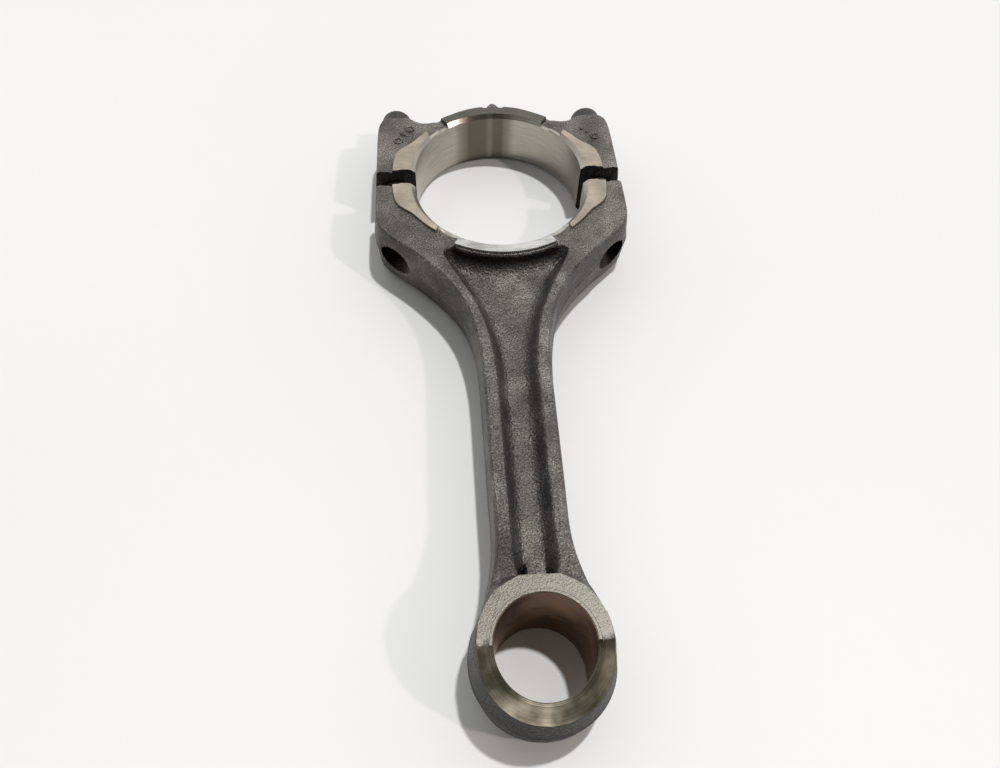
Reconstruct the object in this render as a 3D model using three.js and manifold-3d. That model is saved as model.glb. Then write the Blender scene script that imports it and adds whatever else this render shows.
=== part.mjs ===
// Connecting rod of a car engine, lying on its side: a forged rod, its cracked-off bearing cap,
// two cap screws and a pressed bronze bush. The cap stands a few millimetres off the rod, on
// screws that have been slackened. Millimetres; +X across the rod, +Y from the small end towards
// the cap, +Z up. The design is drawn about the big-end centre and moved at the end so that the
// middle of the underside of its box is the origin.
import * as THREE from "three";
import { mergeVertices } from "three/addons/utils/BufferGeometryUtils.js";
import Module from "manifold-3d";

const wasm = await Module();
wasm.setup();

// ---------- driving dimensions ----------
const CENTRES = 145.6; // big-end centre to small-end centre
const GAP = 6.4; // how far the slackened cap stands off
const CRANK_R = 26.4; // big-end bore radius
const CRANK_CHAMFER = 1.2;
const THRUST_HALF = 9.2; // half the width over the machined thrust faces
const FORGED_HALF = 8.4; // half the width of the forging round them
const RELIEF = 0.4; // depth of the dips between them
const SCREW_X = 33; // screw axes, either side of the bore
const SCREW_R = 4.3; // shank and thread, plain
const HOLE_R = 4.65; // hole round the screw
const PIN_R = 11; // bore of the bush
const BUSH_R = 12; // outside of the bush
const EYE_R = 12.3; // hole in the small end for the bush
const EYE_HALF = 11.75; // half the width of the small end at its middle
const EYE_OUTER = 16.5; // outside radius of the small end at the flash line
const TAPER = 0.264; // slope of the small end's tapered faces
const SEAT_Y = 27.6; // screw seat on the cap, from the bore centre
const HEAD_R = 5;
const HEAD_LENGTH = 9;
const SCREW_LENGTH = 47.6; // under the head
const WEB_HALF = 2.5; // half the thickness of the shank's web
const SHANK_HALF = 7.2; // half the depth of the shank's flanges
const EDGE = 1.1; // rounding of the forged edges
const DRAFT = 0.09; // draft of the forged walls

// ---------- materials ----------
const forged = new THREE.MeshStandardMaterial({ color: 0x6b635c, metalness: 0.85, roughness: 0.55 });
forged.name = "forged_steel";
const bronze = new THREE.MeshStandardMaterial({ color: 0x8a6a45, metalness: 0.95, roughness: 0.35 });
bronze.name = "bush_bronze";
const black = new THREE.MeshStandardMaterial({ color: 0x33302e, metalness: 0.7, roughness: 0.5 });
black.name = "phosphated_steel";

// ---------- helpers ----------
function solidOf(geometry) {
  const bare = new THREE.BufferGeometry();
  const source = geometry.index ? geometry.toNonIndexed() : geometry;
  bare.setAttribute("position", source.getAttribute("position"));
  const merged = mergeVertices(bare, 1e-4);
  const mesh = new wasm.Mesh({
    numProp: 3,
    vertProperties: merged.attributes.position.array,
    triVerts: new Uint32Array(merged.index.array),
  });
  const solid = new wasm.Manifold(mesh);
  if (solid.volume() < 0) throw new Error("a solid is inside out");
  return solid;
}

function meshOf(solid, name, material) {
  const data = solid.getMesh();
  const geometry = new THREE.BufferGeometry();
  const xyz = new Float32Array(data.numVert * 3);
  for (let i = 0; i < data.numVert; i++) {
    const at = i * data.numProp;
    xyz.set(data.vertProperties.subarray(at, at + 3), i * 3);
  }
  geometry.setAttribute("position", new THREE.BufferAttribute(xyz, 3));
  geometry.setIndex(new THREE.BufferAttribute(new Uint32Array(data.triVerts), 1));
  geometry.computeVertexNormals();
  const mesh = new THREE.Mesh(geometry, material);
  mesh.name = name;
  return mesh;
}

const union = (solids) => solids.reduce((a, b) => a.add(b));

// A closed skin over rings of points that all have the same count, the first and last ring
// filled flat. Rings run anticlockwise seen from the last one.
function skin(rings, fill) {
  const count = rings[0].length;
  const points = rings.flat();
  const index = [];
  for (let r = 0; r + 1 < rings.length; r++) {
    for (let i = 0; i < count; i++) {
      const j = (i + 1) % count;
      const a = r * count;
      const b = a + count;
      index.push(a + i, a + j, b + j, a + i, b + j, b + i);
    }
  }
  const last = (rings.length - 1) * count;
  for (const [a, b, c] of fill) {
    index.push(c, b, a, last + a, last + b, last + c);
  }
  const geometry = new THREE.BufferGeometry();
  const xyz = points.flatMap((p) => [p.x, p.y, p.z]);
  geometry.setAttribute("position", new THREE.Float32BufferAttribute(xyz, 3));
  geometry.setIndex(index);
  return solidOf(geometry);
}

// An outline whose sides have all moved inwards by a distance.
function inset(outline, distance) {
  const count = outline.length;
  const inward = outline.map((p, i) => {
    const along = outline[(i + 1) % count].clone().sub(p).normalize();
    return new THREE.Vector2(-along.y, along.x);
  });
  return outline.map((p, i) => {
    const before = inward[(i + count - 1) % count];
    const after = inward[i];
    const reach = Math.max(1 + before.dot(after), 0.4);
    return before.clone().add(after).multiplyScalar(distance / reach).add(p);
  });
}

// A slab through z = 0 with the same outline above and below, given as [z, outline] upwards.
function slab(levels) {
  const up = levels.filter(([z]) => z > 0);
  const middle = levels.filter(([z]) => z === 0);
  const down = [...up].reverse().map(([z, outline]) => [-z, outline]);
  const all = [...down, ...middle, ...up];
  const rings = all.map(([z, outline]) => outline.map((p) => new THREE.Vector3(p.x, p.y, z)));
  return skin(rings, THREE.ShapeUtils.triangulateShape(up[up.length - 1][1], []));
}

// The forged slab: draft on its walls and a rounded top edge.
function forgedSlab(outline, half) {
  return slab([
    [0, outline],
    [half - EDGE, inset(outline, DRAFT * (half - EDGE))],
    [half - 0.3 * EDGE, inset(outline, DRAFT * half + 0.3 * EDGE)],
    [half, inset(outline, DRAFT * half + EDGE)],
  ]);
}

// A plain prism between two heights.
function prism(outline, low, high) {
  const ring = (z) => outline.map((p) => new THREE.Vector3(p.x, p.y, z));
  return skin([ring(low), ring(high)], THREE.ShapeUtils.triangulateShape(outline, []));
}

function box(x0, x1, y0, y1, z0, z1) {
  const geometry = new THREE.BoxGeometry(x1 - x0, y1 - y0, z1 - z0);
  geometry.translate((x0 + x1) / 2, (y0 + y1) / 2, (z0 + z1) / 2);
  return solidOf(geometry);
}

// A turned solid about Z from [radius, z] pairs that start and end on the axis.
function turned(profile, segments) {
  const points = profile.map(([r, z]) => new THREE.Vector2(r, z));
  const geometry = new THREE.LatheGeometry(points, segments);
  geometry.rotateX(Math.PI / 2);
  return solidOf(geometry);
}

// The same, about a line parallel to Y.
function turnedAlongY(profile, segments, x) {
  const points = profile.map(([r, y]) => new THREE.Vector2(r, y));
  const geometry = new THREE.LatheGeometry(points, segments);
  geometry.translate(x, 0, 0);
  return solidOf(geometry);
}

const V = (x, y) => new THREE.Vector2(x, y);
const polar = (r, degrees, cy = 0) => {
  const a = THREE.MathUtils.degToRad(degrees);
  return V(r * Math.cos(a), cy + r * Math.sin(a));
};

// Right-hand points with their mirror images, going round anticlockwise from the right.
function mirrored(right) {
  const left = [...right].reverse().map((p) => V(-p.x, p.y));
  return [...right, ...left];
}

// A smooth open curve through the points, as so many points.
function smooth(points, count) {
  return new THREE.SplineCurve(points).getPoints(count);
}

// A value read off straight lines between [at, value] pairs, given from the highest down.
function along(table, y) {
  if (y >= table[0][0]) return table[0][1];
  for (let i = 1; i < table.length; i++) {
    const [y1, v1] = table[i];
    if (y >= y1) {
      const [y0, v0] = table[i - 1];
      return v0 + ((v1 - v0) * (y - y0)) / (y1 - y0);
    }
  }
  return table[table.length - 1][1];
}

// ---------- the cracked faces ----------
// How far the crack strays from the middle plane at a point of the parting.
function crack(x, z) {
  const out = Math.abs(x);
  const coarse = Math.sin(0.9 * out + 1.7 * Math.cos(0.55 * z)) * Math.cos(0.7 * z);
  const fine = Math.sin(2.9 * out + 1.3 * Math.cos(2.1 * z)) * Math.cos(3.1 * z);
  return 0.28 * coarse + 0.15 * fine;
}

// Everything on the +Y side of the crack, on one side of the bore.
function beyondCrack(side) {
  const step = 1.25;
  const across = 16;
  const deep = 20;
  const back = 60;
  const point = (i, k) => {
    const x = side * (22 + i * step);
    const z = (k - deep / 2) * step;
    return [x, crack(x, z), z];
  };
  const xyz = [];
  const index = [];
  const row = deep + 1;
  for (let i = 0; i <= across; i++) {
    for (let k = 0; k <= deep; k++) xyz.push(...point(i, k));
  }
  const far = xyz.length / 3;
  for (let i = 0; i <= across; i++) {
    for (let k = 0; k <= deep; k++) {
      const [x, , z] = point(i, k);
      xyz.push(x, back, z);
    }
  }
  const quad = (a, b, c, d) => index.push(a, b, c, a, c, d);
  for (let i = 0; i < across; i++) {
    for (let k = 0; k < deep; k++) {
      const a = i * row + k;
      quad(a, a + row, a + row + 1, a + 1);
      quad(far + a, far + a + 1, far + a + row + 1, far + a + row);
    }
  }
  for (let i = 0; i < across; i++) {
    const a = i * row;
    const b = a + deep;
    quad(a, far + a, far + a + row, a + row);
    quad(b, b + row, far + b + row, far + b);
  }
  for (let k = 0; k < deep; k++) {
    const a = k;
    const b = across * row + k;
    quad(a, a + 1, far + a + 1, far + a);
    quad(b, far + b, far + b + 1, b + 1);
  }
  if (side < 0) {
    for (let i = 0; i < index.length; i += 3) {
      [index[i + 1], index[i + 2]] = [index[i + 2], index[i + 1]];
    }
  }
  const geometry = new THREE.BufferGeometry();
  geometry.setAttribute("position", new THREE.Float32BufferAttribute(xyz, 3));
  geometry.setIndex(index);
  return solidOf(geometry);
}

const beyond = beyondCrack(1).add(beyondCrack(-1));

// ---------- shared by both halves of the big end ----------
const bore = turned(
  [
    [0, -14],
    [CRANK_R + CRANK_CHAMFER + 14 - THRUST_HALF, -14],
    [CRANK_R + CRANK_CHAMFER, -THRUST_HALF],
    [CRANK_R, CRANK_CHAMFER - THRUST_HALF],
    [CRANK_R, THRUST_HALF - CRANK_CHAMFER],
    [CRANK_R + CRANK_CHAMFER, THRUST_HALF],
    [CRANK_R + CRANK_CHAMFER + 14 - THRUST_HALF, 14],
    [0, 14],
  ],
  112,
);

// Outer radius of a side thrust face, at an angle from the parting line.
const LOBE = [
  [46, 29.2],
  [38, 29.6],
  [30, 30],
  [25, 30.6],
  [21, 31.8],
  [17, 33],
  [13, 33.5],
  [0, 33.6],
];

// A side thrust face on the right: wide at the parting, slim and slant-ended further round.
// sign is -1 for the rod's half and +1 for the cap's.
function lobe(sign) {
  const outer = [];
  for (let t = -3; t <= 46; t += 3.5) outer.push(polar(along(LOBE, t), t));
  const inner = [];
  for (let t = 40; t >= -3; t -= 5) inner.push(polar(CRANK_R, t));
  const right = [...outer, ...inner];
  return sign > 0 ? right : right.reverse().map((p) => V(p.x, -p.y));
}

// The crescent thrust face opposite the parting, cut off square at each end.
function crescent(sign, endX, outerR) {
  const outer = [];
  const inner = [];
  const outerEnd = THREE.MathUtils.radToDeg(Math.acos(endX / outerR));
  const innerEnd = THREE.MathUtils.radToDeg(Math.acos(endX / CRANK_R));
  for (let i = 0; i <= 14; i++) outer.push(polar(outerR, outerEnd + ((180 - 2 * outerEnd) * i) / 14));
  for (let i = 14; i >= 0; i--) inner.push(polar(CRANK_R, innerEnd + ((180 - 2 * innerEnd) * i) / 14));
  const up = [...outer, ...inner];
  return sign > 0 ? up : up.reverse().map((p) => V(p.x, -p.y));
}

// The three thrust faces of one half, standing proud on both sides.
function thrustFaces(sign, endX, outerR) {
  const right = lobe(sign);
  const left = [...right].reverse().map((p) => V(-p.x, p.y));
  const outlines = [right, left, crescent(sign, endX, outerR)];
  return union(outlines.map((o) => prism(o, -THRUST_HALF, THRUST_HALF)));
}

// Dips in the forging between the thrust faces, beside the bore.
function reliefs(sign) {
  const cut = [];
  for (const [from, to] of [[47, 58], [122, 133]]) {
    const outline = [polar(25.5, from), polar(30.4, from + 1), polar(30.4, to - 1), polar(25.5, to)];
    const placed = sign > 0 ? outline : [...outline].reverse().map((p) => V(p.x, -p.y));
    for (const side of [-1, 1]) {
      const low = side > 0 ? FORGED_HALF - RELIEF : -13;
      cut.push(prism(placed, low, low + 13 - FORGED_HALF + RELIEF));
    }
  }
  return union(cut);
}

// ---------- rod ----------
// Half width of the shank at the flash line, half width of its pocket and half depth of its
// flanges, each as [y, value] going down from the big end.
const WIDTH = smooth(
  [
    V(34.4, -23.2), V(28.2, -29), V(24.2, -33.2), V(20.5, -37.6), V(16.8, -43), V(13.7, -49.5),
    V(11.8, -56.5), V(10.6, -64.5), V(10.1, -74), V(10, -84), V(9.8, -106), V(9.7, -117),
    V(10.3, -124), V(11.7, -130.6), V(13.8, -137),
  ],
  90,
).map((p) => [p.y, p.x]);
const POCKET = smooth(
  [
    V(18.4, -29.4), V(15.6, -35.6), V(12.9, -41), V(10.4, -46.4), V(8, -53), V(6.5, -60),
    V(5.6, -67), V(5.3, -75), V(5.1, -94), V(5, -111), V(4.8, -122), V(4.6, -132),
  ],
  70,
).map((p) => [p.y, p.x]);
const DEPTH = smooth(
  [
    V(FORGED_HALF, -24), V(8.3, -34), V(8, -44), V(7.5, -56), V(SHANK_HALF, -70), V(SHANK_HALF, -90),
    V(SHANK_HALF, -112), V(7.6, -119.5), V(8.7, -125.5), V(10.4, -130.5), V(11.6, -134),
  ],
  60,
).map((p) => [p.y, p.x]);

// One quarter of the shank's section, from the flash line to the middle of the web.
function quarter(y) {
  const w = along(WIDTH, y);
  const h = along(DEPTH, y);
  const p = along(POCKET, y);
  const flat = Math.max(p - 3.2, p * 0.3);
  return [
    [w, 0],
    [w - DRAFT * (h - EDGE), h - EDGE],
    [w - DRAFT * h - 0.3 * EDGE, h - 0.3 * EDGE],
    [w - DRAFT * h - EDGE, h],
    [p + 0.9, h],
    [p + 0.25, h - 0.3],
    [p - 0.1, h - 1],
    [p - 0.1 - 0.14 * (h - 1 - WEB_HALF - 1.6), WEB_HALF + 1.6],
    [p - 1.3, WEB_HALF + 0.55],
    [flat, WEB_HALF + 0.08],
    [0, WEB_HALF],
  ];
}

function shank() {
  const stations = [];
  for (let i = 0; i <= 12; i++) stations.push(-29.4 - i * 2.2);
  for (let i = 1; i <= 9; i++) stations.push(-55.8 - i * 6.8);
  for (let i = 1; i <= 11; i++) stations.push(-117 - i * 1.65);
  const rings = stations.map((y) => {
    const q = quarter(y);
    const upperRight = q.map(([x, z]) => new THREE.Vector3(x, y, z));
    const upperLeft = q.slice(0, -1).reverse().map(([x, z]) => new THREE.Vector3(-x, y, z));
    const lowerLeft = q.slice(1).map(([x, z]) => new THREE.Vector3(-x, y, -z));
    const lowerRight = q.slice(1, -1).reverse().map(([x, z]) => new THREE.Vector3(x, y, -z));
    return [...upperRight, ...upperLeft, ...lowerLeft, ...lowerRight];
  });
  const first = rings[0].map((p) => V(p.x, p.z));
  return skin(rings, THREE.ShapeUtils.triangulateShape(first, []));
}

// Bosses and ring of the rod's half, with the ring's back left open to the pocket.
function rodBigEnd() {
  const outer = smooth(
    [V(39.6, -10), V(39.2, -15), V(37.9, -19), V(34.4, -23.2), V(29.4, -27.9)],
    16,
  );
  const back = [];
  for (let t = 63; t < 90; t += 4) back.push(polar(31.3, -t));
  const right = [V(39.6, 3), ...outer, V(25, -32.4), V(20.8, -32), V(18, -29.4), ...back];
  return forgedSlab(mirrored(right).reverse(), FORGED_HALF);
}

// The hollow curve between the ring and the web.
function webFillet() {
  const quarterProfile = [
    [31.2, 7.6],
    [31.5, 5.9],
    [32.3, 4.3],
    [33.8, 3.1],
    [36.2, WEB_HALF + 0.05],
  ];
  const lower = [...quarterProfile].reverse().map(([r, z]) => [r, -z]);
  const ring = turned([[0, -7.6], ...lower.reverse(), ...quarterProfile.reverse(), [0, 7.6]], 112);
  return ring.intersect(box(-18.6, 18.6, -37, -24, -8, 8));
}

// Small end: outline as a radius at each angle, at the flash line and at the machined face.
const EYE_MIDDLE = [
  [90, 20],
  [68, 20.5],
  [56, 19.6],
  [40, 17.9],
  [20, 16.8],
  [0, EYE_OUTER],
  [-90, EYE_OUTER],
];
const EYE_FACE = [
  [90, 15.2],
  [73.5, 15.8],
  [60.8, 15.6],
  [48.6, 15.6],
  [36.4, 15.2],
  [25, 14.9],
  [14.5, 14.7],
  [0, 14.3],
  [-40, 14],
  [-90, 13.6],
];

function smallEnd() {
  const steps = 72;
  const ring = (blend) => {
    const points = [];
    for (let i = 0; i < steps; i++) {
      const degrees = -90 + (360 * i) / steps;
      const folded = degrees > 90 ? 180 - degrees : degrees;
      const r = (1 - blend) * along(EYE_MIDDLE, folded) + blend * along(EYE_FACE, folded);
      points.push(polar(r, degrees, -CENTRES));
    }
    return points;
  };
  const levels = [[0, 0], [0.35, 0.1], [0.6, 0.3], [0.8, 0.58], [0.93, 0.82], [1, 1]];
  return slab(levels.map(([share, blend]) => [share * EYE_HALF, ring(blend)]));
}

// What the tapered faces take off the end of the small end, above and below.
function taperCuts() {
  const y0 = -CENTRES + 0.2;
  const reach = 24;
  const cuts = [];
  for (const side of [-1, 1]) {
    const profile = [
      V(y0, side * (EYE_HALF - 0.25)),
      V(y0, side * (EYE_HALF + 6)),
      V(y0 - reach, side * (EYE_HALF + 6)),
      V(y0 - reach, side * (EYE_HALF - 0.25 - TAPER * reach)),
    ];
    const turn = side > 0 ? profile : [...profile].reverse();
    const ring = (x) => turn.map((p) => new THREE.Vector3(x, p.x, p.y));
    cuts.push(skin([ring(-24), ring(24)], THREE.ShapeUtils.triangulateShape(turn, [])));
  }
  return cuts[0].add(cuts[1]);
}

// The lug that stands on the web against the small end.
function webLug() {
  const profile = [
    [0, -9.2],
    [1.5, -9],
    [2.1, -8.1],
    [2.4, -3],
    [2.4, 3],
    [2.1, 8.1],
    [1.5, 9],
    [0, 9.2],
  ];
  const y = -CENTRES + 18.3;
  const end = turned(profile, 20).translate([-0.4, y, 0]);
  return end.add(box(-2.6, 1.8, y - 5.3, y, -8.7, 8.7));
}

function holeAlongY(radius, y0, y1) {
  const profile = [[0, y0], [radius, y0], [radius, y1], [0, y1]];
  return turnedAlongY(profile, 40, SCREW_X).add(turnedAlongY(profile, 40, -SCREW_X));
}

function rodBody() {
  const forging = union([rodBigEnd(), shank(), webFillet(), smallEnd(), webLug()]);
  const thrust = thrustFaces(-1, 14.8, 30.9);
  const eye = turned(
    [
      [0, -15],
      [EYE_R, -15],
      [EYE_R, 15],
      [0, 15],
    ],
    72,
  );
  const placedEye = eye.translate([0, -CENTRES, 0]);
  return forging
    .subtract(reliefs(-1))
    .add(thrust)
    .subtract(bore)
    .subtract(placedEye)
    .subtract(taperCuts())
    .subtract(holeAlongY(HOLE_R, -45, 5))
    .subtract(beyond);
}

// ---------- cap ----------
function capForging() {
  const ring = [];
  for (let t = 52; t < 90; t += 3.6) ring.push(polar(32.2, t));
  const right = [
    V(39.6, -3), V(39.55, 16), V(39.3, 20.5), V(38.9, 24), V(38, 26.4), V(36.8, SEAT_Y),
    V(30, SEAT_Y), V(28.2, 27.3), V(26.8, 26.2), V(25.4, 25), V(23.8, 24.5), V(22, 24.8), V(20.9, 25.1),
    ...ring,
  ];
  return forgedSlab(mirrored(right), FORGED_HALF);
}

// The rib across the crown of the cap.
function crownRib() {
  const side = [V(4.2, 30.4), V(2.9, 32), V(1.9, 33.8), V(0.9, 35)];
  return prism(mirrored(side), -7.9, 7.9);
}

// Raised forging marks on the bosses: a bar between two rings, and two dots beside a ring.
function bossMarks() {
  const low = FORGED_HALF - 0.5;
  const high = FORGED_HALF + 0.35;
  const disc = (x, y, r) => {
    const around = [];
    for (let i = 0; i < 14; i++) around.push(polar(r, (i * 360) / 14, 0).add(V(x, y)));
    return around;
  };
  const ring = (x, y) => {
    const hollow = prism(disc(x, y, 0.9), low - 1, high + 1);
    return prism(disc(x, y, 1.6), low, high).subtract(hollow);
  };
  const bar = [158, -44, -22, 136].map((degrees) => polar(1.7, degrees).add(V(-30, 18.2)));
  return union([
    ring(-31.9, 15.2),
    prism(bar, low, high),
    ring(-28.2, 21),
    prism(disc(29, 19.9, 0.6), low, high),
    prism(disc(30.7, 18.3, 0.6), low, high),
    ring(33.1, 15.9),
  ]);
}

function bearingCap() {
  const cap = capForging()
    .add(crownRib())
    .subtract(reliefs(1))
    .add(thrustFaces(1, 16, 30.9))
    .add(bossMarks())
    .subtract(bore)
    .subtract(holeAlongY(HOLE_R, -5, 45))
    .intersect(beyond.add(box(-23, 23, 2, 45, -12, 12)));
  return cap.translate([0, GAP, 0]);
}

// ---------- screws ----------
// Cylinder head with a twelve-point socket, waisted shank and a plain thread.
function capScrew(x) {
  const tip = -SCREW_LENGTH;
  const profile = [
    [0, tip],
    [SCREW_R - 0.9, tip],
    [SCREW_R, tip + 0.9],
    [SCREW_R, tip + 21],
    [SCREW_R - 0.5, tip + 21.8],
    [SCREW_R - 0.5, -9.5],
    [SCREW_R, -8.7],
    [SCREW_R, -0.8],
    [SCREW_R + 0.2, 0.3],
    [HEAD_R - 0.3, 0.3],
    [HEAD_R, 0.6],
    [HEAD_R, HEAD_LENGTH - 1.7],
    [HEAD_R - 0.2, HEAD_LENGTH - 0.9],
    [HEAD_R - 0.7, HEAD_LENGTH - 0.3],
    [HEAD_R - 1.3, HEAD_LENGTH],
    [0, HEAD_LENGTH],
  ];
  const star = [];
  for (let i = 0; i < 24; i++) star.push(polar(i % 2 ? 2.7 : 3.4, i * 15));
  const starAt = (y) => star.map((p) => new THREE.Vector3(x + p.x, y, p.y));
  const socket = [starAt(HEAD_LENGTH + 1), starAt(HEAD_LENGTH - 4.6)];
  const cut = skin(socket, THREE.ShapeUtils.triangulateShape(star, []));
  return turnedAlongY(profile, 36, x).subtract(cut).translate([0, GAP + SEAT_Y, 0]);
}

// ---------- bush ----------
function smallEndBush() {
  const ring = turned(
    [
      [0, -EYE_HALF],
      [BUSH_R, -EYE_HALF],
      [BUSH_R, EYE_HALF],
      [0, EYE_HALF],
    ],
    72,
  );
  const edge = 0.5;
  const pin = turned(
    [
      [0, -15],
      [PIN_R + edge + 15 - EYE_HALF, -15],
      [PIN_R + edge, -EYE_HALF],
      [PIN_R, edge - EYE_HALF],
      [PIN_R, EYE_HALF - edge],
      [PIN_R + edge, EYE_HALF],
      [PIN_R + edge + 15 - EYE_HALF, 15],
      [0, 15],
    ],
    72,
  );
  return ring.subtract(pin).translate([0, -CENTRES, 0]).subtract(taperCuts());
}

// ---------- assembly ----------
const pieces = [
  [rodBody(), "rod_body", forged],
  [bearingCap(), "bearing_cap", forged],
  [capScrew(-SCREW_X), "cap_screw_left", black],
  [capScrew(SCREW_X), "cap_screw_right", black],
  [smallEndBush(), "small_end_bush", bronze],
];
const top = GAP + SEAT_Y + HEAD_LENGTH;
const bottom = -(CENTRES + EYE_OUTER);
const shift = [0, -(top + bottom) / 2, EYE_HALF];
const rod = new THREE.Group();
rod.name = "connecting_rod";
for (const [solid, name, material] of pieces) rod.add(meshOf(solid.translate(shift), name, material));

export default rod;
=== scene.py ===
# A car engine's connecting rod lying on its side, its cracked-off cap standing off on slackened
# screws. Lengths in the dictionaries are millimetres, about the big-end centre and the middle of
# the forging's thickness: x across the rod, y towards the cap, z up.
import math
import bpy
import numpy as np
from mathutils import Matrix, Vector
from mathutils.geometry import delaunay_2d_cdt


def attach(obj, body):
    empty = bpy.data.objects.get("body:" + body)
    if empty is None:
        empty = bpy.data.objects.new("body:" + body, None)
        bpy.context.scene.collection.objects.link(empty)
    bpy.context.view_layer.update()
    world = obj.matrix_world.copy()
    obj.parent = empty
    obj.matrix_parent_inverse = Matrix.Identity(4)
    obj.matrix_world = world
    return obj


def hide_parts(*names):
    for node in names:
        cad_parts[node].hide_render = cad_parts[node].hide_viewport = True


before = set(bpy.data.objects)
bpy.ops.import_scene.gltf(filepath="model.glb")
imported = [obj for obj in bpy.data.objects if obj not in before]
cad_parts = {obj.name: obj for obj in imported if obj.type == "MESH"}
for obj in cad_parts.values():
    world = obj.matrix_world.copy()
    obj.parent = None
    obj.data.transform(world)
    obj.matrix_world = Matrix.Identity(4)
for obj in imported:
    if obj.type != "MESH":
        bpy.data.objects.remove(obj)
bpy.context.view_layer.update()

toFrame = np.array([0.0, 59.55, 11.75])   # from the big-end centre to the frame's origin

# sizes that several pieces share
bigEnd = dict(bore=26.4, chamfer=1.2, thrust=9.2, forging=8.4, padEdge=0.13, gap=6.4,
              reliefDepth=0.4, reliefFrom=47.5, reliefTo=58.0, reliefOut=30.4)
smallEnd = dict(centre=-145.6, eye=11.95, face=11.75, crease=-145.4, step=0.25, slope=0.264)
screwAt = dict(x=33.0, pitch=1.0)
flashRidge = 0.12
forgedDraft = 0.09
innerEdge = 25.2                          # where the pads' outlines close, inside the bore
boreRings = (26.75, 27.15, 27.6)          # radii of extra edges across the bore's chamfer


# ---- small helpers ----

# sRGB hex to linear light
def linear(hexText, alpha=1.0):
    values = [int(hexText[i:i + 2], 16) / 255 for i in (1, 3, 5)]
    return [v / 12.92 if v < 0.04045 else ((v + 0.055) / 1.055) ** 2.4 for v in values] + [alpha]


# One node with its settings; inputs given by name or number are linked or set
def addNode(tree, kind, inputs=None, **settings):
    node = tree.nodes.new(kind)
    for key, value in settings.items():
        setattr(node, key, value)
    for key, value in (inputs or {}).items():
        socket = node.inputs[key]
        if isinstance(value, bpy.types.NodeSocket):
            tree.links.new(value, socket)
        else:
            socket.default_value = value
    return node


# 0 below low, 1 above high, with eased ends
def ease(low, high, value):
    t = np.clip((value - low) / (high - low), 0, 1)
    return t * t * (3 - 2 * t)


# The lower of two heights, with the corner between them rounded over a width k
def softLow(a, b, k):
    h = np.clip(0.5 + 0.5 * (b - a) / k, 0, 1)
    return b * (1 - h) + a * h - k * h * (1 - h)


# The higher of two heights, rounded the same way
def softHigh(a, b, k):
    return -softLow(-a, -b, k)


# A smooth curve through points: each span is the usual cubic whose end slopes follow the
# neighbouring points; then evenly spaced along its length
def curveThrough(points, step):
    p = np.asarray(points, float)
    ends = np.vstack([2 * p[0] - p[1], p, 2 * p[-1] - p[-2]])
    t = np.linspace(0, 1, 24, endpoint=False)[:, None]
    a, b, c, d = ends[:-3, None], ends[1:-2, None], ends[2:-1, None], ends[3:, None]
    fine = 0.5 * (2 * b + (c - a) * t + (2 * a - 5 * b + 4 * c - d) * t**2 + (3 * b - a - 3 * c + d) * t**3)
    return evenly(np.vstack([fine.reshape(-1, p.shape[1]), p[-1:]]), step)


# Points evenly spaced along a line of points
def evenly(line, step):
    run = np.concatenate([[0], np.cumsum(np.hypot(*np.diff(line[:, :2], axis=0).T))])
    at = np.linspace(0, run[-1], max(2, int(round(run[-1] / step)) + 1))
    return np.stack([np.interp(at, run, column) for column in line.T], 1)


def circlePoint(radius, degrees, centreY=0.0):
    a = np.radians(degrees)
    return np.stack([radius * np.cos(a), centreY + radius * np.sin(a)], -1)


# Distance from points to a closed outline, positive inside it: the nearest segment's distance,
# with the sign from counting crossings
def insideDistance(points, outline):
    a = outline
    b = np.roll(outline, -1, axis=0)
    out = np.empty(len(points))
    for start in range(0, len(points), 4000):
        p = points[start:start + 4000, None]
        ab = (b - a)[None]
        t = np.clip(((p - a) * ab).sum(-1) / np.maximum((ab * ab).sum(-1), 1e-12), 0, 1)
        gap = np.sqrt((((p - a) - t[..., None] * ab) ** 2).sum(-1)).min(1)
        py = p[..., 1]
        crosses = (a[None, :, 1] > py) != (b[None, :, 1] > py)
        rise = np.where(crosses, b[:, 1] - a[:, 1], 1.0)
        at = a[None, :, 0] + (py - a[None, :, 1]) * ab[..., 0] / rise
        inside = ((crosses & (p[..., 0] < at)).sum(1) % 2) == 1
        out[start:start + 4000] = np.where(inside, gap, -gap)
    return out


# The outline moved inwards by a distance along its own normals, keeping only the points that end
# up that far from it
def ringInside(outline, distance):
    along = np.roll(outline, -1, axis=0) - np.roll(outline, 1, axis=0)
    along /= np.hypot(*along.T)[:, None]
    moved = outline + distance * np.stack([-along[:, 1], along[:, 0]], 1)
    return moved[np.abs(insideDistance(moved, outline) - distance) < 0.08]


# A right half going down, closed by its mirror image into an anticlockwise loop
def mirroredLoop(right):
    left = right[::-1] * [-1, 1]
    whole = np.vstack([right, left[1:] if abs(right[-1, 0]) < 1e-6 else left])
    if abs(whole[0, 0]) < 1e-6:
        whole = whole[:-1]
    nextOne = np.roll(whole, -1, axis=0)
    area = (whole[:, 0] * nextOne[:, 1] - nextOne[:, 0] * whole[:, 1]).sum()
    return whole if area > 0 else whole[::-1]


# The same for a right half whose two ends have no mirror image of their own
def mirroredLoopOpen(right):
    left = (right * [-1, 1])[::-1]
    whole = np.vstack([right, left[1:-1]])
    nextOne = np.roll(whole, -1, axis=0)
    area = (whole[:, 0] * nextOne[:, 1] - nextOne[:, 0] * whole[:, 1]).sum()
    return whole if area > 0 else whole[::-1]


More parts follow.
